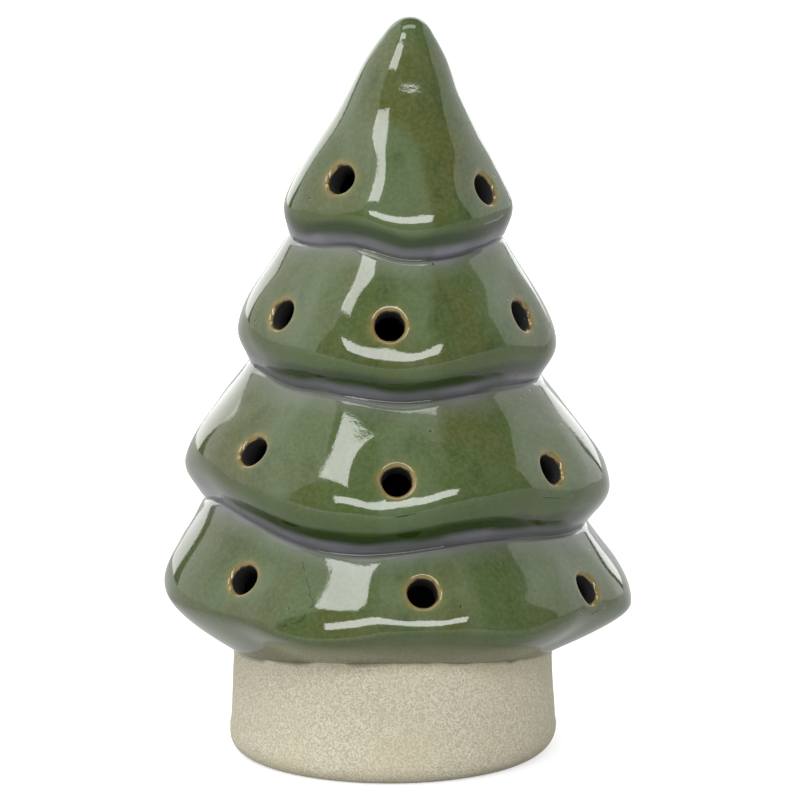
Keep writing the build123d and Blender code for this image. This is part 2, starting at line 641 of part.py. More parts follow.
# Screws, heads down
head_bottom = plate_bottom + FIT_GAP
with BuildPart() as housing_screws:
    with BuildSketch(Plane.XY.offset(head_bottom)):
        with Locations(*boss_points):
            Circle(SCREW_HEAD_DIAMETER / 2)
    extrude(amount=SCREW_HEAD_HEIGHT)
    with BuildSketch(Plane.XY.offset(head_bottom + SCREW_HEAD_HEIGHT)):
        with Locations(*boss_points):
            Circle(SCREW_DIAMETER / 2)
    extrude(amount=SCREW_LENGTH)
    with BuildSketch(Plane.XY.offset(head_bottom)):
        with Locations(*boss_points):
            Rectangle(DRIVE_LENGTH, DRIVE_WIDTH)
            Rectangle(DRIVE_WIDTH, DRIVE_LENGTH)
    extrude(amount=DRIVE_DEPTH, mode=Mode.SUBTRACT)
housing_screws.part.label = "housing_screws"
export_step(housing_screws.part, "parts/housing_screws.step")
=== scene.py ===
"""Glazed stoneware tree over its plug-in light unit: fine forms, materials, light and camera."""
from functools import lru_cache
from math import atan2, cos, degrees, exp, hypot, pi, radians, sin

import bmesh
import bpy
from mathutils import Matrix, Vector, noise as unevenness
from mathutils.kdtree import KDTree


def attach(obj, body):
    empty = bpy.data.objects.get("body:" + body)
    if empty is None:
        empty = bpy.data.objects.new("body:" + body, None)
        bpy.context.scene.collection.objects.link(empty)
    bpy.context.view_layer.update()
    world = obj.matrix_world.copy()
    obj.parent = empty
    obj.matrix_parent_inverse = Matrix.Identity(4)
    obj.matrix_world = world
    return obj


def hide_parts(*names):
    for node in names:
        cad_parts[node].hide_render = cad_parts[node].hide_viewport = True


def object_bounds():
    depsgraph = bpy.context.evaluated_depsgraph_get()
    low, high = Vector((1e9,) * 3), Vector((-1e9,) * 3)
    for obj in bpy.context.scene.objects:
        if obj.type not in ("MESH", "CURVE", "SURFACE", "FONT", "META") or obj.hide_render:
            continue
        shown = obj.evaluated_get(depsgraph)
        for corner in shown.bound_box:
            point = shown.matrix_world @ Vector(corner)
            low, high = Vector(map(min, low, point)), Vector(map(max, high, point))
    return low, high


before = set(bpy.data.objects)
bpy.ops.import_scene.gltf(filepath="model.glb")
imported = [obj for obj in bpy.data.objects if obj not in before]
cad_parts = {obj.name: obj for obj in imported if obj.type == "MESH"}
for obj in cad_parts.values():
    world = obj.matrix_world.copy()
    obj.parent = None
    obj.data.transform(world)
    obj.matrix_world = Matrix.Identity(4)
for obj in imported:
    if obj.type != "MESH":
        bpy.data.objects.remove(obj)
cad_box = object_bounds()

MM = 0.001

# Sizes of the tree's outside, in mm: the solids' form, with deeper notches and a fuller tip
HEIGHT = cad_box[1].z / MM
TIP_RADIUS = 5.2
TIP_START = 87.0        # its first row is at this angle above the round tip's middle, in degrees
TIP_HOLLOW = 0.6        # how far the top tier's side dips inside a straight line
TIP_SWELL = 0.9         # the cone is this much fuller near the tip
SWELL_DEPTH = 8.5       # and fullest this far below it
SWELL_LENGTH = 5.2
TIP_LEAN = 3.4          # the tip bends over to +X
LEAN_POWER = 4.5
HEM_ROUND = 0.08        # share of the top tier's side that is rounded at its hem
FACE_SHAPE = (1.64, 1.0)       # ease of a tier's face at its hem and at the notch above
UNDER_SHAPE = (1.90, 1.05)     # ease of a tier's underside at its hem and at the notch
LEDGE = 0.22            # the faces flatten below the notches, most at the front
LEDGE_REACH = 32.0      # over this many degrees to each side
SKIRT_POWER = 1.35      # roundness of the lowest tier's underside
SKIRT_ROUND = 0.3       # it turns softly into the lowest hem, most on the right
HEM_FLARE = 0.35        # a hem's drooping places also stand out by this share
COLLAR_HEIGHT = 23.2    # where the lowest tier meets the foot
COLLAR_RISE = 2.0       # the collar is higher at front and back
COLLAR_BLEND = 1.2      # the corner there is smoothed this far up and down
FOOT_RADIUS = 33.2
FOOT_TAPER = 1.0        # the foot narrows upwards by this much in radius
FOOT_UPRIGHT = 5.0      # its side starts to taper here
FOOT_TOP = COLLAR_HEIGHT + COLLAR_RISE + 1     # and would end here, above the collar
FOOT_ROUND = 4.0        # rounding of its bottom edge,
FOOT_ROUND_MORE = 0.7   # more on the right and less on the left by this

# Hems and the notches under them, lowest tier first: notch height and radius, hem height and radius
TIERS = (
    (None, None, 34.2, 47.4),
    (51.5, 38.7, 59.2, 42.6),
    (80.0, 29.6, 86.4, 32.0),
    (106.6, 21.9, 112.4, 23.2),
)

# Each hem rises and droops as it goes round: (azimuth from the front towards +X, rise)
WAVES = (
    ((-97, 2.8), (-70, 0.2), (-45, 1.6), (-20, -1.0), (8, 1.6), (34, -0.6), (58, 1.4),
     (88, -3.3), (112, 1.2), (138, -1.2), (164, 1.2), (190, -1.2), (214, 1.2), (238, -1.2)),
    ((-98, -0.2), (-66, 3.9), (-12, -1.0), (34, 1.8), (90, -4.2), (138, 2.0), (182, -1.5), (222, 2.2)),
    ((-96, 0.3), (-62, 2.6), (4, -0.7), (46, 1.4), (88, -2.4), (130, 1.5), (175, -1.2), (220, 1.8)),
    ((-85, -0.1), (-30, 2.6), (8, -0.7), (58, 0.8), (105, -1.0), (150, 1.6), (195, -1.0), (235, 1.5)),
)

# Each notch runs lower than its hem's wave by this much as it goes round
NOTCH_DIPS = (
    None,
    ((-95, 0.0), (-60, 1.7), (0, 1.6), (45, 3.0), (88, 0.3), (138, 1.5), (182, 1.5), (222, 1.5)),
    ((-96, 0.0), (-54, 3.4), (-16, 1.1), (8, 1.3), (48, 2.6),
     (88, 0.3), (130, 1.5), (175, 1.5), (220, 1.5)),
    ((-88, 0.0), (-45, 1.9), (2, 0.6), (45, 1.5), (94, 0.2), (150, 1.2), (195, 1.2), (235, 1.2)),
)
DIP_FLARE = -0.4        # and its radius changes by this share of that

# Light holes on each tier's face: (azimuth, height above that tier's hem)
HOLES = (
    ((-44, 8.8), (8, 8.8), (61, 4.8), (112, 8.0), (163, 8.0), (214, 8.0), (265, 8.0)),
    ((-48, 8.8), (1, 5.8), (53, 4.8), (105, 5.5), (157, 6.5), (208, 6.5), (260, 6.5)),
    ((-53, 7.6), (-2, 7.6), (62, 6.6), (123, 7.0), (184, 7.0), (246, 7.0)),
    ((-39, 8.6), (60, 5.6), (147, 7.0), (234, 7.0)),
)
HOLE_RADIUS = 3.0
LIP_RADIUS = 3.9        # where the surface starts to roll into a hole
LIP_REACH = 8.5         # the mesh is drawn aside this far from a hole's middle
OUTSIDE_CUT = 2.75      # faces with their middles this near to a hole's axis are cut away
INSIDE_CUT = 2.7
SLOPE_TURN = 3.0        # a hole's slope is taken over this many degrees and mm to each side
SLOPE_RISE = 1.0
# Rings of a lip and its bore: radius, depth, and how far they follow the surface's own bend
LIP_RINGS = (
    (3.62, 0.08, 1.0), (3.38, 0.25, 1.0), (3.17, 0.55, 0.9),
    (3.04, 1.0, 0.7), (3.0, 1.7, 0.4), (3.0, 3.0, 0.0),
)
DIMPLE_RADIUS = 10.5    # each hole sits in a shallow dimple
DIMPLE_DEPTH = 0.75
GROOVE_DEPTH = 0.35     # the fine crease line at the bottom of a notch
GROOVE_WIDTH = 0.5
UNDER_LENGTH = 6.6      # usual heights of an underside and of a face
FACE_LENGTH = 19.4

# Hand-made unevenness of the outside
LUMP_DEPTH = 0.45
LUMP_SIZE = 9.0

# A hairline craze in the lowest tier's glaze: (azimuth, height)
CRAZE_LINE = ((-26.5, 47.0), (-24.5, 44.2), (-20.5, 40.0), (-22.5, 37.4), (-28.0, 35.2))

# Inside of the casting
WALL = 4.0
FOOT_WALL = 5.5
FLOOR_BOTTOM = 4.0
FLOOR_TOP = 8.5
RECESS_RADIUS = 25.5
SOCKET_RADIUS = 22.1
FLOOR_CHAMFER = 1.0     # at the bottom of the light chamber
EDGE_ROUND = 0.6        # edges of the recess and the socket
TIP_SOLID = 16.0        # solid clay above the hollow

# How finely the casting is drawn
COLUMNS = 208
SPAN_ROWS = (22, 34, 20, 36, 18, 36, 18, 48)    # undersides and faces in turn, from the collar up
TIP_ROWS = 9
FOOT_ROWS = 10
FOOT_EDGE_ROWS = 8
EDGE_STEPS = 4
INSIDE_SPACING = 2.1
COLLAR_PASSES = 4
SURFACE_TRIES = 4
HOLE_SEARCH = 4 * WALL  # how far from a hole's middle its faces and points are looked for

# Marks that the casting's points carry for its glaze, as distances in mm, end at these values
MARK_REACH = 40.0       # crease and hem: how far above them
LINE_REACH = 8.0        # below: how far under the glaze's lower line
INNER = 20.0            # below and gap, on the inside

tip_centre = HEIGHT - TIP_RADIUS
tip_slope = atan2(TIERS[3][3] - TIP_RADIUS, tip_centre - TIERS[3][2])
tip_seam = (tip_centre + TIP_RADIUS * sin(tip_slope), TIP_RADIUS * cos(tip_slope))


def lean(z):
    """Sideways place of the tree's middle at height z."""
    return TIP_LEAN * (z / HEIGHT) ** LEAN_POWER


def ease(t, first, second):
    """Goes from 0 to 1 as t does, with a power for each end."""
    return t**first / (t**first + (1 - t) ** second)


def smooth(t):
    """A soft step from 0 to 1."""
    t = min(1.0, max(0.0, t))
    return t * t * (3 - 2 * t)


def wave_rise(wave, azimuth):
    """Height of a hem's wave, going smoothly from each high place to the next low one."""
    knots = sorted((place % 360, value) for place, value in wave)
    knots = [(knots[-1][0] - 360, knots[-1][1])] + knots + [(knots[0][0] + 360, knots[0][1])]
    for (start, low), (end, high) in zip(knots, knots[1:]):
        if start <= azimuth % 360 <= end:
            return low + (high - low) * (1 - cos(pi * (azimuth % 360 - start) / (end - start))) / 2


def foot_radius(z):
    """Outside radius of the bare foot."""
    share = max(0.0, z - FOOT_UPRIGHT) / (FOOT_TOP - FOOT_UPRIGHT)
    return FOOT_RADIUS - FOOT_TAPER * share


@lru_cache(maxsize=None)
def levels(azimuth):
    """Height and radius of the collar, each hem and notch, and the tip's seam, at one azimuth."""
    collar = COLLAR_HEIGHT + COLLAR_RISE * cos(radians(2 * azimuth))
    places = [(collar, foot_radius(collar))]
    for (notch_height, notch_radius, hem_height, hem_radius), wave, dips in zip(TIERS, WAVES, NOTCH_DIPS):
        rise = wave_rise(wave, azimuth)
        if notch_height:
            dip = wave_rise(dips, azimuth)
            radius = notch_radius - HEM_FLARE * rise / 2 + DIP_FLARE * dip
            places.append((notch_height + rise - dip, radius))
        places.append((hem_height + rise, hem_radius - HEM_FLARE * rise))
    places.append(tip_seam)
    return places


def groove(away):
    """Depth of a notch's fine crease line, that far from its bottom."""
    return GROOVE_DEPTH * exp(-((away / GROOVE_WIDTH) ** 2))


def span_radius(azimuth, span, t):
    """Radius at one azimuth on a span between two levels, t going from 0 at the lower one to 1."""
    (_, r0), (_, r1) = levels(azimuth)[span:span + 2]
    if span == 0:
        soft = SKIRT_ROUND * (1 + sin(radians(azimuth))) / 2
        start = soft**SKIRT_POWER
        down = (hypot(1 - t, soft) ** SKIRT_POWER - start) / (hypot(1, soft) ** SKIRT_POWER - start)
        return r1 - (r1 - r0) * down
    if span == len(SPAN_ROWS) - 1:
        along = (t - HEM_ROUND * (1 - exp(-t / HEM_ROUND))) / (1 - HEM_ROUND)
        return r0 + (r1 - r0) * along - TIP_HOLLOW * sin(pi * t)
    if span % 2 == 0:
        return r1 + (r0 - r1) * ease(1 - t, *UNDER_SHAPE) - groove(t * UNDER_LENGTH)
    from_front = (azimuth + 180) % 360 - 180
    upper_shape = FACE_SHAPE[1] - LEDGE * exp(-((from_front / LEDGE_REACH) ** 2))
    return r0 + (r1 - r0) * ease(t, FACE_SHAPE[0], upper_shape) - groove((1 - t) * FACE_LENGTH)


def swell(z):
    """How much fuller than a plain cone with a round end the tip is, at height z."""
    depth = HEIGHT - z
    return TIP_SWELL * exp(-(((depth - SWELL_DEPTH) / SWELL_LENGTH) ** 2)) * smooth(depth / TIP_RADIUS)


def on_tree(azimuth, radius, z):
    """The point at that radius from the tree's leaning middle, in mm, less a hand-made unevenness."""
    side = Vector((sin(radians(azimuth)), -cos(radians(azimuth)), 0))
    point = side * (radius + swell(z)) + Vector((lean(z), 0, z))
    lump = LUMP_DEPTH * smooth(radius / TIP_RADIUS)
    return point - side * lump * (1 + unevenness.noise(point / LUMP_SIZE)) / 2


def tree_point(azimuth, z):
    """The point of the tree's outside at that azimuth and height, in mm."""
    places = levels(azimuth)
    for span in range(len(SPAN_ROWS)):
        z0, z1 = places[span][0], places[span + 1][0]
        if z <= z1 or span == len(SPAN_ROWS) - 1:
            share = min(1.0, max(0.0, (z - z0) / (z1 - z0)))
            return on_tree(azimuth, span_radius(azimuth, span, share), z)


# Rows of the casting from the tip down, under the foot and up inside
def tip_row(angle):
    """A level row on the tip's round end, at that angle above its middle."""
    z = tip_centre + TIP_RADIUS * sin(angle)
    return lambda azimuth: on_tree(azimuth, TIP_RADIUS * cos(angle), z)


def outside_row(span, t):
    """Places and glaze marks of a row on the glazed outside."""
    def place(azimuth):
        z0, z1 = levels(azimuth)[span][0], levels(azimuth)[span + 1][0]
        return on_tree(azimuth, span_radius(azimuth, span, t), z0 + (z1 - z0) * t)

    def marks(azimuth):
        length = levels(azimuth)[span + 1][0] - levels(azimuth)[span][0]
        above, below = t * length, (t - 1) * length
        if span == 0:
            return {"crease": MARK_REACH, "hem": below}
        if span == len(SPAN_ROWS) - 1:
            return {"crease": MARK_REACH, "hem": above}
        return {"crease": above, "hem": below} if span % 2 == 0 else {"crease": below, "hem": above}

    return place, marks


def round_row(radius, z):
    """A level circle."""
    return lambda azimuth: Vector((radius * sin(radians(azimuth)), -radius * cos(radians(azimuth)), z))


def foot_row(t):
    """A row on the foot's side, from the collar down to where its taper ends."""
    def place(azimuth):
        collar = levels(azimuth)[0][0]
        z = collar + (FOOT_UPRIGHT - collar) * t
        return on_tree(azimuth, foot_radius(z), z)
    return place


def edge_row(angle):
    """A row round the foot's bottom edge, at that angle below its side."""
    def place(azimuth):
        size = FOOT_ROUND + FOOT_ROUND_MORE * sin(radians(azimuth))
        return round_row(FOOT_RADIUS - size * (1 - cos(angle)), size * (1 - sin(angle)))(azimuth)
    return place


def arc(middle, radius, start, end, steps):
    """Points of an arc in the plane of radius and height, angles in degrees."""
    angles = [radians(start + (end - start) * step / steps) for step in range(steps + 1)]
    return [(middle[0] + radius * cos(angle), middle[1] + radius * sin(angle)) for angle in angles]


def in_steps(points, spacing):
    """The same broken line with points no further apart than spacing."""
    line = [points[0]]
    for (r0, z0), (r1, z1) in zip(points, points[1:]):
        count = max(1, round(hypot(r1 - r0, z1 - z0) / spacing))
        shares = [step / count for step in range(1, count + 1)]
        line += [(r0 + (r1 - r0) * share, z0 + (z1 - z0) * share) for share in shares]
    return line


def under_profile():
    """Radius and height from the foot's underside through the socket."""
    edge, steps = EDGE_ROUND, EDGE_STEPS
    return (
        arc((RECESS_RADIUS + edge, edge), edge, -90, -180, steps)
        + arc((RECESS_RADIUS - edge, FLOOR_BOTTOM - edge), edge, 0, 90, steps)
        + arc((SOCKET_RADIUS + edge, FLOOR_BOTTOM + edge), edge, -90, -180, steps)
        + arc((SOCKET_RADIUS + edge, FLOOR_TOP - edge), edge, 180, 90, steps)
    )


def inside_profile():
    """Radius and height of the light chamber's wall, from the floor up."""
    side = FOOT_RADIUS - FOOT_WALL
    corners = [(side - FLOOR_CHAMFER, FLOOR_TOP), (side, FLOOR_TOP + FLOOR_CHAMFER)]
    corners.append((FOOT_RADIUS - FOOT_TAPER - FOOT_WALL, COLLAR_HEIGHT))
    for (notch_height, notch_radius, hem_height, hem_radius), wave in zip(TIERS, WAVES):
        dip = HEM_FLARE * max(value for _, value in wave)
        if notch_height:
            corners.append((notch_radius - dip - WALL, notch_height))
        corners.append((hem_radius - dip - WALL, hem_height))
    corners.append((TIP_RADIUS / 2, HEIGHT - TIP_SOLID))
    return in_steps(corners, INSIDE_SPACING)


def casting_rows():
    """Every row of the casting in order: where it runs, its glaze marks and which wall it belongs to."""
    def far(azimuth):
        return {"crease": MARK_REACH, "hem": MARK_REACH}

    def unmarked(azimuth):
        return {}

    rows = []
    tip_start = radians(TIP_START)
    for step in range(TIP_ROWS):
        rows.append((tip_row(tip_start + (tip_slope - tip_start) * step / TIP_ROWS), far, "outside"))
    for span in reversed(range(len(SPAN_ROWS))):
        for step in range(SPAN_ROWS[span]):
            share = 1 - step / SPAN_ROWS[span]
            closer = (share + (1 - cos(pi * share)) / 2) / 2
            rows.append((*outside_row(span, closer), "outside"))
    rows += [(foot_row(step / FOOT_ROWS), unmarked, "foot") for step in range(FOOT_ROWS)]
    rows.append((round_row(FOOT_RADIUS, FOOT_UPRIGHT), unmarked, "foot"))
    for step in range(FOOT_EDGE_ROWS + 1):
        rows.append((edge_row(radians(90) * step / FOOT_EDGE_ROWS), unmarked, "foot"))
    rows += [(round_row(r, z), unmarked, "foot") for r, z in under_profile()]
    rows += [(round_row(r, z), unmarked, "inside") for r, z in inside_profile()]
    return rows


def hole_frame(azimuth, z):
    """A hole's middle on the surface and its directions across, up and out."""
    middle = tree_point(azimuth, z)
    across = (tree_point(azimuth + SLOPE_TURN, z) - tree_point(azimuth - SLOPE_TURN, z)).normalized()
    up = tree_point(azimuth, z + SLOPE_RISE) - tree_point(azimuth, z - SLOPE_RISE)
    out = across.cross(up).normalized()
    return middle, across, out.cross(across), out


def in_frame(hole, point):
    """Distance from the hole's axis, angle round it and depth below the surface, of a point in mm."""
    middle, across, up, out = hole
    offset = point - middle
    a, b = offset.dot(across), offset.dot(up)
    return hypot(a, b), atan2(b, a), -offset.dot(out)


def loop_value(loop, angle, which):
    """A value given at a hole's corners, at one angle between its two nearest corners."""
    around = [(loop[-1][0] - 2 * pi, *loop[-1][1:])] + loop + [(loop[0][0] + 2 * pi, *loop[0][1:])]
    for low, high in zip(around, around[1:]):
        if low[0] <= angle <= high[0]:
            share = (angle - low[0]) / max(high[0] - low[0], 1e-9)
            return low[which] + (high[which] - low[which]) * share


def in_order(edges):
    """Corners of one closed loop of edges, going round."""
    left = set(edges)
    edge = edges[0]
    corners = [edge.verts[0]]
    while edge:
        left.discard(edge)
        corners.append(edge.other_vert(corners[-1]))
        edge = next((e for e in corners[-1].link_edges if e in left), None)
    return corners[:-1]


def onto_surface(hole, radius, angle):
    """The point of the tree's outside straight below that place in a hole's plane, in mm."""
    middle, across, up, out = hole
    point = middle + (across * cos(angle) + up * sin(angle)) * radius
    for _ in range(SURFACE_TRIES):
        near = tree_point(degrees(atan2(point.x - lean(point.z), -point.y)), point.z)
        point = point - out * (point - near).dot(out)
    return point


def dimple(radius):
    """Depth of the shallow dimple round a hole, at that distance from its axis."""
    share = min(1.0, max(0.0, (radius - HOLE_RADIUS) / (DIMPLE_RADIUS - HOLE_RADIUS)))
    return DIMPLE_DEPTH * (1 - share * share) ** 2


def even_angles(hole, corners):
    """Evenly spaced angles for a hole's corners, and each corner's angle, radius and change of angle."""
    places = [in_frame(hole, v.co / MM) for v in corners]
    angles = [places[0][1]]
    for _, angle, _ in places[1:]:
        angles.append(angles[-1] + (angle - angles[-1] + pi) % (2 * pi) - pi)
    turn = (2 * pi if angles[-1] > angles[0] else -2 * pi) / len(corners)
    start = sum(angle - turn * index for index, angle in enumerate(angles)) / len(corners)
    even = {v: start + turn * index for index, v in enumerate(corners)}
    loop = sorted(
        (angle, radius, even[v] - unwound)
        for v, unwound, (radius, angle, _) in zip(corners, angles, places)
    )
    return even, loop


def draw_aside(hole, corners, near, gap):
    """Moves the outside's points near a hole so that its ragged first edge becomes a round, even one."""
    even, loop = even_angles(hole, corners)
    for v in near:
        radius, angle, depth = in_frame(hole, v.co / MM)
        if depth > WALL / 2 or radius > LIP_REACH:
            continue
        share = 0.0
        if v in even:
            angle = even[v]
        else:
            first = loop_value(loop, angle, 1)
            share = (radius - first) / (LIP_REACH - first)
            angle += loop_value(loop, angle, 2) * (1 - share)
        moved = LIP_RADIUS + (LIP_REACH - LIP_RADIUS) * share
        v.co = (onto_surface(hole, moved, angle) - hole[3] * dimple(moved)) * MM
        v[gap] = moved - HOLE_RADIUS


def new_loop(bm, edges):
    """Extrudes a loop of edges: the new edges, the new points and the new faces."""
    made = bmesh.ops.extrude_edge_only(bm, edges=edges)["geom"]
    verts = [g for g in made if isinstance(g, bmesh.types.BMVert)]
    kept = set(verts)
    edges = [g for g in made if isinstance(g, bmesh.types.BMEdge) and set(g.verts) <= kept]
    return edges, verts, [g for g in made if isinstance(g, bmesh.types.BMFace)]


def open_hole(bm, hole, near, gap):
    """Rolls a lip on the outside's opening, bores the wall and joins it to the inside's opening."""
    middle, across, up, out = hole
    near = [v for v in near if v.is_valid]
    edges = {e for v in near for e in v.link_edges if e.is_boundary}
    outer = [e for e in edges if in_frame(hole, (e.verts[0].co + e.verts[1].co) / (2 * MM))[2] < WALL / 2]
    inner = [e for e in edges if e not in outer]
    corners = in_order(outer)
    draw_aside(hole, corners, near, gap)
    bend = sorted(in_frame(hole, v.co / MM)[1:] for v in corners)
    for radius, depth, follow in LIP_RINGS:
        outer, ring, _ = new_loop(bm, outer)
        for v in ring:
            angle = in_frame(hole, v.co / MM)[1]
            side = (across * cos(angle) + up * sin(angle)) * radius
            v.co = (middle + side - out * (depth + follow * loop_value(bend, angle, 1))) * MM
            v[gap] = radius - HOLE_RADIUS if radius > HOLE_RADIUS else -depth
    for v in {v for e in inner for v in e.verts}:
        _, angle, depth = in_frame(hole, v.co / MM)
        v.co = (middle + (across * cos(angle) + up * sin(angle)) * HOLE_RADIUS - out * depth) * MM
    bmesh.ops.bridge_loops(bm, edges=outer + inner)


def draw_walls(bm, column, layers):
    """Draws the casting row by row from the tip and closes it inside: the faces of each wall."""
    start = bmesh.ops.create_circle(
        bm, cap_ends=True, cap_tris=True, segments=COLUMNS, radius=MM,
    )["verts"]
    ring = [v for v in start if hypot(v.co.x, v.co.y) > MM / 2]
    pole = next(v for v in start if v not in ring)
    pole.co = Vector((lean(HEIGHT), 0, HEIGHT)) * MM
    pole_marks = {"gap": LIP_REACH, "below": -LINE_REACH, "crease": MARK_REACH, "hem": MARK_REACH}
    for name, value in pole_marks.items():
        pole[layers[name]] = value
    for v in ring:
        v[column] = round(degrees(atan2(v.co.x, -v.co.y)) / 360 * COLUMNS) % COLUMNS
    edges = [e for e in bm.edges if pole not in e.verts]
    walls = {"outside": [], "foot": [], "inside": []}
    for index, (place, marks, wall) in enumerate(casting_rows()):
        if index:
            edges, ring, faces = new_loop(bm, edges)
            walls[wall] += faces
        for v in ring:
            azimuth = 360 * v[column] / COLUMNS
            v.co = place(azimuth) * MM
            under = levels(azimuth)[0][0] - v.co.z / MM
            v[layers["below"]] = INNER if wall == "inside" else min(LINE_REACH, max(-LINE_REACH, under))
            v[layers["gap"]] = -INNER if wall == "inside" else LIP_REACH
            for name, value in marks(azimuth).items():
                v[layers[name]] = value
    bmesh.ops.pointmerge(bm, verts=ring, merge_co=Vector((0, 0, HEIGHT - TIP_SOLID)) * MM)
    return walls


def smooth_collar(bm, column):
    """Softens the corner where the lowest tier meets the foot."""
    def by_collar(v):
        away = abs(v.co.z / MM - levels(360 * v[column] / COLUMNS)[0][0])
        return away < COLLAR_BLEND and hypot(v.co.x, v.co.y) / MM > FOOT_RADIUS - 2 * FOOT_TAPER

    collar = [v for v in bm.verts if by_collar(v)]
    for _ in range(COLLAR_PASSES):
        bmesh.ops.smooth_vert(
            bm, verts=collar, factor=0.5, use_axis_x=True, use_axis_y=True, use_axis_z=True,
        )


def search_tree(points):
    """A search tree that finds those points by their places in the list."""
    tree = KDTree(len(points))
    for index, point in enumerate(points):
        tree.insert(point, index)
    tree.balance()
    return tree


def make_holes(bm, walls, gap):
    """Sinks a dimple for each light hole, cuts the hole through both walls and shapes its lip."""
    holes = []
    for tier, places in zip(TIERS, HOLES):
        holes += [hole_frame(azimuth, tier[2] + above) for azimuth, above in places]
    for v in {v for face in walls["outside"] for v in face.verts}:
        for hole in holes:
            if (v.co / MM - hole[0]).length < DIMPLE_RADIUS + WALL:
                v.co -= hole[3] * dimple(in_frame(hole, v.co / MM)[0]) * MM
    cut = set()
    for wall, radius in (("outside", OUTSIDE_CUT), ("inside", INSIDE_CUT)):
        faces = [f for f in walls[wall] if f.is_valid]
        tree = search_tree([face.calc_center_median() / MM for face in faces])
        for hole in holes:
            for place, index, _ in tree.find_range(hole[0], HOLE_SEARCH):
                away, _, depth = in_frame(hole, place)
                if away < radius and depth > -WALL / 2:
                    cut.add(faces[index])
    bmesh.ops.delete(bm, geom=list(cut), context="FACES")
    points = list(bm.verts)
    tree = search_tree([v.co / MM for v in points])
    for hole in holes:
        near = [points[index] for _, index, _ in tree.find_range(hole[0], HOLE_SEARCH)]
        near = [v for v in near if in_frame(hole, v.co / MM)[0] < LIP_REACH]
        open_hole(bm, hole, near, gap)


def casting_mesh():
    """The casting as one closed mesh, with its marks for the glaze."""
    bm = bmesh.new()
    column = bm.verts.layers.int.new("column")
    layers = {name: bm.verts.layers.float.new(name) for name in ("crease", "hem", "below", "gap")}
    walls = draw_walls(bm, column, layers)
    smooth_collar(bm, column)
    make_holes(bm, walls, layers["gap"])
    bmesh.ops.recalc_face_normals(bm, faces=bm.faces)
    bm.verts.layers.int.remove(column)
    return bm


# Building nodes
def fill(tree, node, inputs):
    """Gives a node's sockets values or other nodes' outputs."""
    for name, value in inputs.items():
        if isinstance(value, bpy.types.NodeSocket):
            tree.links.new(value, node.inputs[name])
        else:
            node.inputs[name].default_value = value


def add(tree, kind, inputs=None, **settings):
    """Adds a node with those inputs."""
    node = tree.nodes.new(kind)
    for key, value in settings.items():
        setattr(node, key, value)
    fill(tree, node, inputs or {})
    return node


def colour(red, green, blue):
    """A colour given as it looks on a screen, 0 to 255, as linear values."""
    parts = [value / 255 for value in (red, green, blue)]
    return (*[p / 12.92 if p <= 0.04045 else ((p + 0.055) / 1.055) ** 2.4 for p in parts], 1.0)


def mixed(tree, factor, first, second):
    """first where factor is 0 and second where it is 1."""
    # the node's sockets 6 and 7 and its output 2 are the ones for colours
    inputs = {0: factor, 6: first, 7: second}
    return add(tree, "ShaderNodeMix", inputs, data_type="RGBA").outputs[2]


def sums(tree, operation, first, second=0.0, clamp=False):
    """Arithmetic on two numbers, of the kind that operation names."""
    inputs = {0: first, 1: second}
    return add(tree, "ShaderNodeMath", inputs, operation=operation, use_clamp=clamp).outputs[0]


def product(tree, first, second):
    """Two numbers multiplied."""
    return sums(tree, "MULTIPLY", first, second)


def vectors(tree, operation, first, second, output="Vector"):
    """Arithmetic on two vectors, or on a vector and a number for SCALE."""
    inputs = {0: first, "Scale" if operation == "SCALE" else 1: second}
    return add(tree, "ShaderNodeVectorMath", inputs, operation=operation).outputs[output]


def stepped(tree, value, low, high, to_low=0.0, to_high=1.0):
    """value taken smoothly from low..high to to_low..to_high."""
    inputs = {"Value": value, "From Min": low, "From Max": high, "To Min": to_low, "To Max": to_high}
    return add(tree, "ShaderNodeMapRange", inputs, interpolation_type="SMOOTHSTEP").outputs["Result"]


def noise(tree, vector, size, detail=2.0, rough=0.5, twist=0.0):
    """Cloudy values about 0.5, with features of that size in mm."""
    inputs = {"Vector": vector, "Scale": 1 / (size * MM), "Detail": detail}
    inputs |= {"Roughness": rough, "Distortion": twist}
    return add(tree, "ShaderNodeTexNoise", inputs).outputs["Fac"]


def cells(tree, place, size):
    """Uneven cells of that size in mm."""
    return add(tree, "ShaderNodeTexVoronoi", {"Vector": place, "Scale": 1 / (size * MM)})


def named(tree, name):
    """One of the marks that a mesh's points carry."""
    return add(tree, "ShaderNodeAttribute", attribute_name=name).outputs["Fac"]


def new_material(name):
    """A material with an empty shader: itself, its nodes, the shader and the place on the object."""
    material = bpy.data.materials.new(name)
    material.use_nodes = True
    tree = material.node_tree
    tree.nodes.clear()
    shader = add(tree, "ShaderNodeBsdfPrincipled")
    output = add(tree, "ShaderNodeOutputMaterial", {"Surface": shader.outputs[0]})
    output.name = "Surface"
    place = add(tree, "ShaderNodeTexCoord").outputs["Object"]
    return material, tree, shader, place


def connect(tree, shader, **inputs):
    """Fills the shader's sockets by name, with spaces written as underscores."""
    fill(tree, shader, {name.replace("_", " "): value for name, value in inputs.items()})


def line_distance(tree, place, corners):
    """Distance in metres from place to the nearest part of a broken line through those points."""
    nearest = None
    for start, end in zip(corners, corners[1:]):
        side = end - start
        offset = vectors(tree, "SUBTRACT", place, start)
        along = vectors(tree, "DOT_PRODUCT", offset, side / side.length_squared, "Value")
        share = sums(tree, "ADD", along, clamp=True)
        away = vectors(tree, "DISTANCE", offset, vectors(tree, "SCALE", side, share), "Value")
        nearest = away if nearest is None else sums(tree, "MINIMUM", nearest, away)
    return nearest


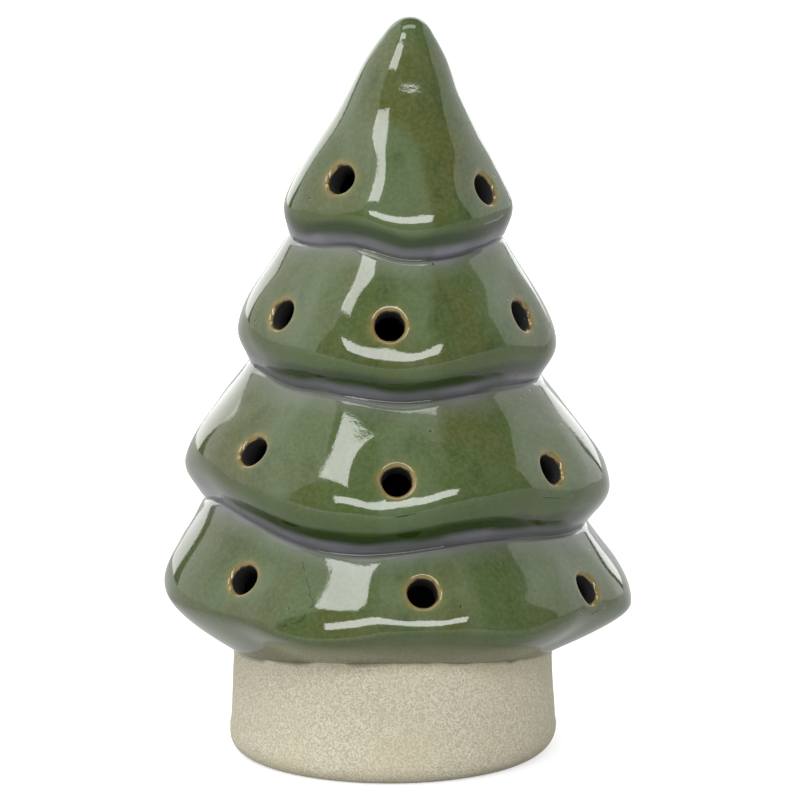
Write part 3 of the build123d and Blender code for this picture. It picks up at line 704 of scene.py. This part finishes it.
# Colours of the glaze, and the shade painted onto it under the hems, in the creases, at its lower line
# and in the holes
GREEN = colour(66, 80, 43)
OLIVE = colour(71, 75, 37)
VEIL = colour(88, 101, 77)
RUN = colour(50, 64, 28)
GRAIN = colour(108, 118, 90)
HEM_PAINTED_SHADE = colour(58, 76, 28)
CREASE_PAINTED_SHADE = colour(28, 44, 6)
CREASE_VIOLET = colour(104, 102, 110)
CREASE_HAZE = colour(112, 116, 108)
CREASE_SHADE_LINE = colour(30, 32, 24)
RIDGE = colour(56, 62, 32)
LOWER_GLAZE_AND_SHADE = colour(50, 54, 26)
LOWER_TAN = colour(92, 88, 54)
RIM_OLIVE = colour(98, 99, 58)
RIM_TAN = colour(126, 107, 64)
RIM_BROWN = colour(58, 44, 24)
BORE_PAINTED_SHADE = colour(8, 7, 6)
PIT = colour(34, 40, 22)
CRAZE = colour(36, 42, 26)

# Colours of the clay, and the painted shade of its inside
CLAY_DARK = colour(164, 155, 131)
CLAY_PALE = colour(192, 186, 164)
CLAY_GRAIN = colour(218, 213, 196)
CLAY_BLOTCH = colour(184, 173, 144)
CLAY_INSIDE_SHADE = colour(16, 14, 11)


def plain_glaze(tree, place):
    """Deep green with olive clouds, long runs and a fine grain, and the veils that lie over it."""
    clouds = noise(tree, place, 24, detail=3.0, rough=0.55, twist=0.6)
    long_place = vectors(tree, "MULTIPLY", place, (1.0, 1.0, 0.16))
    runs = noise(tree, long_place, 5.5, twist=0.3)
    veils = noise(tree, long_place, 12, detail=1.0, twist=0.4)
    grain = noise(tree, place, 0.9, detail=3.0, rough=0.6)
    glaze = mixed(tree, stepped(tree, clouds, 0.42, 0.66), GREEN, OLIVE)
    glaze = mixed(tree, stepped(tree, veils, 0.46, 0.7, 0.0, 0.5), glaze, VEIL)
    glaze = mixed(tree, stepped(tree, runs, 0.5, 0.25, 0.0, 0.6), glaze, RUN)
    return mixed(tree, stepped(tree, grain, 0.35, 0.7, 0.0, 0.2), glaze, GRAIN), veils


def tier_glaze(tree, place, glaze, veils):
    """Adds painted shade under each hem and deep in each crease, a violet-grey band along each crease,
    and a fine dark line of painted shade at each notch's bottom.
    """
    waver = stepped(tree, noise(tree, place, 8, detail=0.0), 0.3, 0.7, -0.3, 0.3)
    crease = sums(tree, "ADD", named(tree, "crease"), waver)
    hem = sums(tree, "ADD", named(tree, "hem"), waver)
    # painted shade on the underside of each hem
    painted_shade = product(tree, stepped(tree, hem, 1.2, -1.2, 0.0, 0.6), stepped(tree, hem, -8.0, -5.0))
    glaze = mixed(tree, painted_shade, glaze, HEM_PAINTED_SHADE)
    # painted shade deep in each crease, on the underside just above its notch
    painted_shade = product(tree, stepped(tree, crease, 6.2, 4.2), stepped(tree, crease, 0.0, 0.6, 0.0, 0.9))
    glaze = mixed(tree, painted_shade, glaze, CREASE_PAINTED_SHADE)
    band = product(tree, stepped(tree, crease, 3.3, 1.5), stepped(tree, crease, -1.6, 0.0))
    band = product(tree, band, stepped(tree, veils, 0.35, 0.6, 1.0, 0.6))
    glaze = mixed(tree, band, glaze, CREASE_VIOLET)
    haze = product(tree, stepped(tree, crease, -4.5, -0.3, 0.0, 0.4), stepped(tree, crease, 0.2, -0.2))
    glaze = mixed(tree, haze, glaze, CREASE_HAZE)
    # a fine dark line of painted shade along the bottom of each notch
    line = stepped(tree, sums(tree, "ABSOLUTE", named(tree, "crease")), 0.45, 0.1, 0.0, 0.65)
    return mixed(tree, line, glaze, CREASE_SHADE_LINE)


def lower_glaze(tree, below, glaze):
    """Adds a faint ridge, a dark brownish band of thin glaze with painted shade in the corner under the
    lowest tier, and tan where the glaze thins out at its lower line.
    """
    ridge = product(tree, stepped(tree, below, -4.2, -3.4), stepped(tree, below, -2.6, -3.2, 0.0, 0.5))
    glaze = mixed(tree, ridge, glaze, RIDGE)
    # the thin glaze's brownish green, darkened with painted shade in the corner under the lowest tier
    glaze = mixed(tree, stepped(tree, below, -3.6, -1.2, 0.0, 0.6), glaze, LOWER_GLAZE_AND_SHADE)
    return mixed(tree, stepped(tree, below, -1.0, 0.2, 0.0, 0.8), glaze, LOWER_TAN)


def hole_glaze(tree, gap, glaze):
    """Breaks the glaze to tan round the holes, and paints their bores and the chamber's inside near black
    as shade.
    """
    glaze = mixed(tree, stepped(tree, gap, 2.4, 0.9, 0.0, 0.5), glaze, RIM_OLIVE)
    glaze = mixed(tree, stepped(tree, gap, 1.3, 0.4, 0.0, 0.8), glaze, RIM_TAN)
    glaze = mixed(tree, stepped(tree, gap, 0.3, -0.05), glaze, RIM_BROWN)
    # painted shade: the bores and the whole chamber inside go near black
    return mixed(tree, stepped(tree, gap, -0.05, -0.45), glaze, BORE_PAINTED_SHADE)


def crazed_glaze(tree, place, glaze):
    """Adds the hairline craze, a broken line made ragged."""
    ragged = add(tree, "ShaderNodeTexNoise", {"Vector": place, "Scale": 1 / (2.0 * MM), "Detail": 3.0})
    ragged = vectors(tree, "SUBTRACT", ragged.outputs["Color"], (0.5, 0.5, 0.5))
    near = vectors(tree, "ADD", place, vectors(tree, "SCALE", ragged, 1.6 * MM))
    craze = line_distance(tree, near, [tree_point(azimuth, z) * MM for azimuth, z in CRAZE_LINE])
    return mixed(tree, stepped(tree, craze, 0.2 * MM, 0.06 * MM, 0.0, 0.85), glaze, CRAZE)


def bare_clay(tree, place, speck):
    """Speckled clay with pale grains, painted dark inside as shade."""
    blotch = noise(tree, place, 9, detail=3.0)
    grains = stepped(tree, sums(tree, "ADD", cells(tree, place, 0.32).outputs["Color"]), 0.42, 0.72)
    # the chamber's inside is painted dark as shade
    inside = stepped(tree, named(tree, "below"), LINE_REACH + 1, INNER - 1)
    clay = mixed(tree, stepped(tree, speck, 0.36, 0.64), CLAY_DARK, CLAY_PALE)
    clay = mixed(tree, product(tree, grains, 0.5), clay, CLAY_GRAIN)
    clay = mixed(tree, stepped(tree, blotch, 0.4, 0.7, 0.0, 0.4), clay, CLAY_BLOTCH)
    return mixed(tree, inside, clay, CLAY_INSIDE_SHADE)


def stoneware_material():
    """Runny green glaze, violet-grey in the creases and tan at the holes, over bare clay."""
    material, tree, shader, place = new_material("glazed stoneware")
    uneven = stepped(tree, noise(tree, place, 11), 0.3, 0.7, 0.2, 0.8)
    below = sums(tree, "ADD", named(tree, "below"), uneven)
    uneven = stepped(tree, noise(tree, place, 2.2), 0.3, 0.7, -0.25, 0.25)
    gap = sums(tree, "ADD", named(tree, "gap"), uneven)
    glaze, veils = plain_glaze(tree, place)
    glaze = tier_glaze(tree, place, glaze, veils)
    glaze = lower_glaze(tree, below, glaze)
    glaze = hole_glaze(tree, gap, glaze)
    pits = stepped(tree, cells(tree, place, 3.4).outputs["Distance"], 0.11, 0.05)
    pits = product(tree, pits, stepped(tree, noise(tree, place, 6), 0.54, 0.6))
    glaze = mixed(tree, product(tree, pits, 0.8), glaze, PIT)
    glaze = crazed_glaze(tree, place, glaze)
    speck = noise(tree, place, 0.36, detail=4.0, rough=0.7)
    bare = stepped(tree, below, -0.2, 0.4)
    bare = product(tree, bare, stepped(tree, named(tree, "gap"), -0.5, 0.0))
    matt = sums(tree, "MAXIMUM", bare, stepped(tree, gap, 0.2, -0.4))
    # heights of the relief in mm
    relief = product(tree, noise(tree, place, 0.8, rough=0.6), 0.010)
    relief = sums(tree, "SUBTRACT", relief, product(tree, pits, 0.08))
    relief = sums(tree, "ADD", relief, product(tree, bare, product(tree, speck, 0.10)))
    bump = add(tree, "ShaderNodeBump", {"Strength": 1.0, "Distance": MM, "Height": relief})
    connect(
        tree, shader,
        Base_Color=mixed(tree, bare, glaze, bare_clay(tree, place, speck)),
        Roughness=stepped(tree, matt, 0.0, 1.0, 0.06, 0.85),
        IOR=1.52,
        Normal=bump.outputs[0],
    )
    return material


def plastic_material(name, shade, roughness, grain_size=0.5, grain_depth=0.01, **more):
    """Moulded plastic or rubber with a fine spark-eroded grain and slightly uneven colour."""
    material, tree, shader, place = new_material(name)
    grain = noise(tree, place, grain_size, detail=3.0, rough=0.6)
    cloud = noise(tree, place, 6)
    darker = tuple(part * 0.86 for part in shade[:3]) + (1.0,)
    tone = mixed(tree, stepped(tree, cloud, 0.3, 0.7, 0.0, 0.6), shade, darker)
    bump = add(tree, "ShaderNodeBump", {"Strength": 1.0, "Distance": MM * grain_depth, "Height": grain})
    rough = stepped(tree, grain, 0.3, 0.7, roughness * 0.85, min(1.0, roughness * 1.15))
    connect(tree, shader, Base_Color=tone, Roughness=rough, Normal=bump.outputs[0], **more)
    return material


def metal_material(name, shade, roughness, stretch=(1.0, 12.0, 12.0)):
    """Rolled metal with a drawn grain."""
    material, tree, shader, place = new_material(name)
    grain = noise(tree, vectors(tree, "MULTIPLY", place, stretch), 1.2, detail=3.0, rough=0.6)
    darker = tuple(part * 0.7 for part in shade[:3]) + (1.0,)
    tone = mixed(tree, stepped(tree, grain, 0.35, 0.65), darker, shade)
    rough = stepped(tree, grain, 0.3, 0.7, roughness * 0.7, roughness * 1.3)
    connect(tree, shader, Base_Color=tone, Roughness=rough, Metallic=1.0)
    return material


def board_material():
    """Green solder-masked board with faint weave."""
    material, tree, shader, place = new_material("circuit board")
    weave = add(tree, "ShaderNodeTexChecker", {"Vector": place, "Scale": 1 / (0.8 * MM)}).outputs["Fac"]
    cloud = noise(tree, place, 3)
    tone = mixed(tree, stepped(tree, cloud, 0.3, 0.7), colour(24, 96, 52), colour(18, 80, 44))
    tone = mixed(tree, product(tree, weave, 0.12), tone, colour(60, 130, 80))
    connect(tree, shader, Base_Color=tone, Roughness=stepped(tree, cloud, 0.3, 0.7, 0.3, 0.42))
    return material


# Pieces
def placed(name, data):
    """A new object in the scene."""
    thing = bpy.data.objects.new(name, data)
    bpy.context.scene.collection.objects.link(thing)
    return thing


def new_piece(name, bm, material, body, nodes):
    """Makes a fine piece that stands for those nodes and moves with that body."""
    mesh = bpy.data.meshes.new(name)
    bm.to_mesh(mesh)
    bm.free()
    mesh.shade_smooth()
    mesh.materials.append(material)
    piece = placed(name, mesh)
    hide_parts(*nodes)
    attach(piece, body)


def rounded(corners, steps=5):
    """A closed profile with each corner replaced by an arc of its rounding."""
    line = []
    count = len(corners)
    for index, (r, z, size) in enumerate(corners):
        here = Vector((r, z))
        back = (Vector(corners[index - 1][:2]) - here).normalized()
        ahead = (Vector(corners[(index + 1) % count][:2]) - here).normalized()
        for step in range(steps + 1):
            t = step / steps
            start, end = here + back * size, here + ahead * size
            line.append(start * (1 - t) ** 2 + here * 2 * t * (1 - t) + end * t * t)
    return line


def turned(profile, segments=128, closed=True):
    """A profile spun once round Z. One that isn't closed starts and ends on the axis."""
    bm = bmesh.new()
    verts = [bmesh.ops.create_vert(bm, co=(p.x * MM, 0, p.y * MM))["vert"][0] for p in profile]
    edges = [bm.edges.new(pair) for pair in zip(verts, verts[1:])]
    if closed:
        edges.append(bm.edges.new((verts[-1], verts[0])))
    bmesh.ops.spin(
        bm, geom=verts + edges, cent=(0, 0, 0), axis=(0, 0, 1),
        angle=2 * pi, steps=segments, use_merge=True,
    )
    bmesh.ops.remove_doubles(bm, verts=bm.verts, dist=WELD * MM)
    bmesh.ops.recalc_face_normals(bm, faces=bm.faces)
    return bm


# Sizes of the light unit's round pieces, in mm
WELD = 0.005            # points closer than this are one
RING_INNER = 20.5
RING_OUTER = 21.3
RIB_RADIUS = 22.0
RIB_LEVELS = (5.0, 6.25, 7.5)
RIB_BELOW = 0.36        # a rib starts this far below its level,
RIB_HALF = 0.12         # is full this far to each side of it
RIB_ABOVE = 0.5         # and ends this far above it
FLANGE_RADIUS = 24.3
PLATE_TOP = 3.2
FLANGE_TOP = 4.0
SLEEVE_TOP = 9.0
CUP_RADIUS = 20.4
CUP_INNER = 19.0
CUP_FOOT = 2.6
CUP_ROOF = 12.6
CUP_TOP = 14.0
LAMP_HOLE = 2.8
CAP_RADIUS = 8.0
CAP_INNER = 7.0
CAP_FOOT = 13.4
CAP_SPRING = 20.0       # where its dome starts
CAP_STEPS = 20
CAP_GAP = 0.1           # between the cap's foot and its seat in the cup
CAP_LEAD = 0.35         # the seat opens to this gap at its outer edge

# Their profiles, with a rounding at each corner
ring_corners = [
    (RING_INNER, PLATE_TOP, 0.15),
    (FLANGE_RADIUS, PLATE_TOP, 0.25),
    (FLANGE_RADIUS, FLANGE_TOP, 0.3),
    (RING_OUTER, FLANGE_TOP, 0.2),
]
for level in RIB_LEVELS:
    ring_corners += [
        (RING_OUTER, level - RIB_BELOW, 0.1),
        (RIB_RADIUS, level - RIB_HALF, 0.1),
        (RIB_RADIUS, level + RIB_HALF, 0.1),
        (RING_OUTER, level + RIB_ABOVE, 0.15),
    ]
ring_corners += [(RING_OUTER, SLEEVE_TOP, 0.25), (RING_INNER, SLEEVE_TOP, 0.25)]
cup_corners = [
    (CUP_INNER, CUP_FOOT, 0.2),
    (CUP_RADIUS, CUP_FOOT, 0.2),
    (CUP_RADIUS, CUP_TOP, 0.9),
    (CAP_RADIUS + CAP_LEAD, CUP_TOP, 0.2),
    (CAP_RADIUS + CAP_GAP, CAP_FOOT, 0.1),
    (CAP_INNER - CAP_GAP, CAP_FOOT, 0.1),
    (CAP_INNER - CAP_GAP, CUP_TOP, 0.1),
    (LAMP_HOLE, CUP_TOP, 0.2),
    (LAMP_HOLE, CUP_ROOF, 0.2),
    (CUP_INNER, CUP_ROOF, 0.6),
]
dome = arc((0, CAP_SPRING), CAP_RADIUS, 90, 0, CAP_STEPS)
hollow = arc((0, CAP_SPRING), CAP_INNER, 0, 90, CAP_STEPS)
cap_line = [Vector(p) for p in dome + [(CAP_RADIUS, CAP_FOOT), (CAP_INNER, CAP_FOOT)] + hollow]

tree_nodes = ("stoneware_foot", "lowest_tier", "second_tier", "third_tier", "top_tier")
new_piece("stoneware_tree", casting_mesh(), stoneware_material(), "tree", tree_nodes)

white = plastic_material("white moulding", colour(236, 235, 230), roughness=0.45)
soft = plastic_material("soft ring", colour(226, 226, 220), roughness=0.7, grain_size=0.3)
frosted = plastic_material(
    "frosted cap", colour(244, 243, 236), roughness=0.5, grain_size=0.25, Transmission_Weight=0.5,
)
resin = plastic_material(
    "lamp resin", colour(246, 232, 176), roughness=0.15, grain_size=2.0, grain_depth=0.002,
    Transmission_Weight=0.4,
)
ring = turned(rounded(ring_corners))
cup = turned(rounded(cup_corners))
cap = turned(cap_line, closed=False)
new_piece("gripping_ring", ring, soft, "light_unit", ["plug_ring"])
new_piece("lamp_cup", cup, white, "light_unit", ["lamp_housing"])
new_piece("frosted_cap", cap, frosted, "light_unit", ["light_cap"])
finishes = {
    "bottom_plate": white,
    "battery_door": white,
    "circuit_board": board_material(),
    "led_lamp": resin,
    "led_leads": metal_material("tinned lead", colour(214, 214, 210), roughness=0.3),
    "negative_contact": metal_material("sprung leaf", colour(218, 214, 204), roughness=0.25),
    "positive_contact": metal_material("sprung clip", colour(218, 214, 204), roughness=0.25),
    "coin_cell": metal_material("cell steel", colour(212, 212, 210), roughness=0.3),
    "switch_body": metal_material("switch can", colour(204, 204, 202), roughness=0.35),
    "switch_pins": metal_material("tinned pin", colour(214, 214, 210), roughness=0.3),
    "switch_slider": plastic_material("black knob", colour(30, 30, 32), roughness=0.5),
    "housing_screws": metal_material("screw steel", colour(198, 198, 198), roughness=0.3),
}
for node, material in finishes.items():
    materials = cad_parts[node].data.materials
    materials.clear()
    materials.append(material)

# Floor, lamps and camera
AIM = Vector((1.4, 0.0, 72.1)) * MM
CAMERA_RISE = 12.6
CAMERA_DISTANCE = 1.7
PICTURE_WIDTH = 161.6 * MM     # what the picture spans at the aim's distance
FLOOR_SIZE = 4.0
FLOOR_SHADE = (0.6, 0.6, 0.6, 1.0)
GLOW_NEAR = (0.25, 0.6)        # a distance in metres and the glow that the camera sees up to there
GLOW_FAR = (0.6, 1.0)          # and from there on
SKY_STRENGTH = 0.09
SKY_TINT = (0.84, 0.96, 1.0, 1.0)
PURE_WHITE = (1.0, 1.0, 1.0, 1.0)

# Lamps: azimuth and rise in degrees, distance, width and height in metres, brightness of the face
LAMPS = {
    "high softbox": (-35, 53, 1.1, 0.36, 0.34, 9.0),
    "long strip": (0, 27, 1.0, 1.25, 0.24, 10.0),
    "overhead panel": (5, 70, 1.3, 1.0, 0.7, 0.3),
    "overhead strip": (0, 84, 1.2, 1.0, 0.3, 4.5),
    "left wall": (-97, 28, 1.2, 1.9, 1.6, 1.1),
    "right wall": (120, 18, 1.3, 1.5, 1.1, 1.1),
    "back wall": (185, 20, 1.5, 2.0, 1.4, 2.3),
}


def direction(azimuth, rise):
    """From the tree outwards: azimuth from the front towards +X, rise above the horizon, in degrees."""
    a, e = radians(azimuth), radians(rise)
    return Vector((sin(a) * cos(e), -cos(a) * cos(e), sin(e)))


def aimed(name, data, azimuth, rise, distance):
    """A new lamp or camera that faces the aim from there."""
    holder = placed(name, data)
    holder.location = AIM + direction(azimuth, rise) * distance
    holder.rotation_mode = "QUATERNION"
    holder.rotation_quaternion = (-direction(azimuth, rise)).to_track_quat("-Z", "Y")
    return holder


def softbox(name, azimuth, rise, distance, width, height, brightness):
    """A rectangular lamp. brightness is that of its face."""
    lamp = bpy.data.lights.new(name, "AREA")
    lamp.shape = "RECTANGLE"
    lamp.size = width
    lamp.size_y = height
    lamp.energy = brightness * pi * width * height
    aimed(name, lamp, azimuth, rise, distance)


for name, values in LAMPS.items():
    softbox(name, *values)

floor_bm = bmesh.new()
bmesh.ops.create_grid(floor_bm, x_segments=1, y_segments=1, size=FLOOR_SIZE)
floor_mesh = bpy.data.meshes.new("floor")
floor_bm.to_mesh(floor_mesh)
floor_bm.free()
floor = placed("floor", floor_mesh)
floor_material, floor_tree, floor_shader, floor_place = new_material("pale floor")
seen = add(floor_tree, "ShaderNodeLightPath").outputs["Is Camera Ray"]
away = add(floor_tree, "ShaderNodeVectorMath", {0: floor_place}, operation="LENGTH").outputs["Value"]
glow = stepped(floor_tree, away, GLOW_NEAR[0], GLOW_FAR[0], GLOW_NEAR[1], GLOW_FAR[1])
connect(
    floor_tree, floor_shader,
    Base_Color=FLOOR_SHADE,
    Roughness=1.0,
    Specular_IOR_Level=0.0,
    Emission_Color=PURE_WHITE,
    Emission_Strength=product(floor_tree, seen, glow),
)
floor_mesh.materials.append(floor_material)

world = bpy.data.worlds.new("studio")
bpy.context.scene.world = world
world.use_nodes = True
world_tree = world.node_tree
world_tree.nodes.clear()
seen = add(world_tree, "ShaderNodeLightPath").outputs["Is Camera Ray"]
strength = sums(world_tree, "MAXIMUM", seen, SKY_STRENGTH)
tint = mixed(world_tree, seen, SKY_TINT, PURE_WHITE)
sky = add(world_tree, "ShaderNodeBackground", {"Color": tint, "Strength": strength})
add(world_tree, "ShaderNodeOutputWorld", {"Surface": sky.outputs[0]})

camera_data = bpy.data.cameras.new("camera")
camera_data.lens = camera_data.sensor_width * CAMERA_DISTANCE / PICTURE_WIDTH
bpy.context.scene.camera = aimed("camera", camera_data, 0, CAMERA_RISE, CAMERA_DISTANCE)
bpy.context.scene.view_settings.view_transform = "Standard"
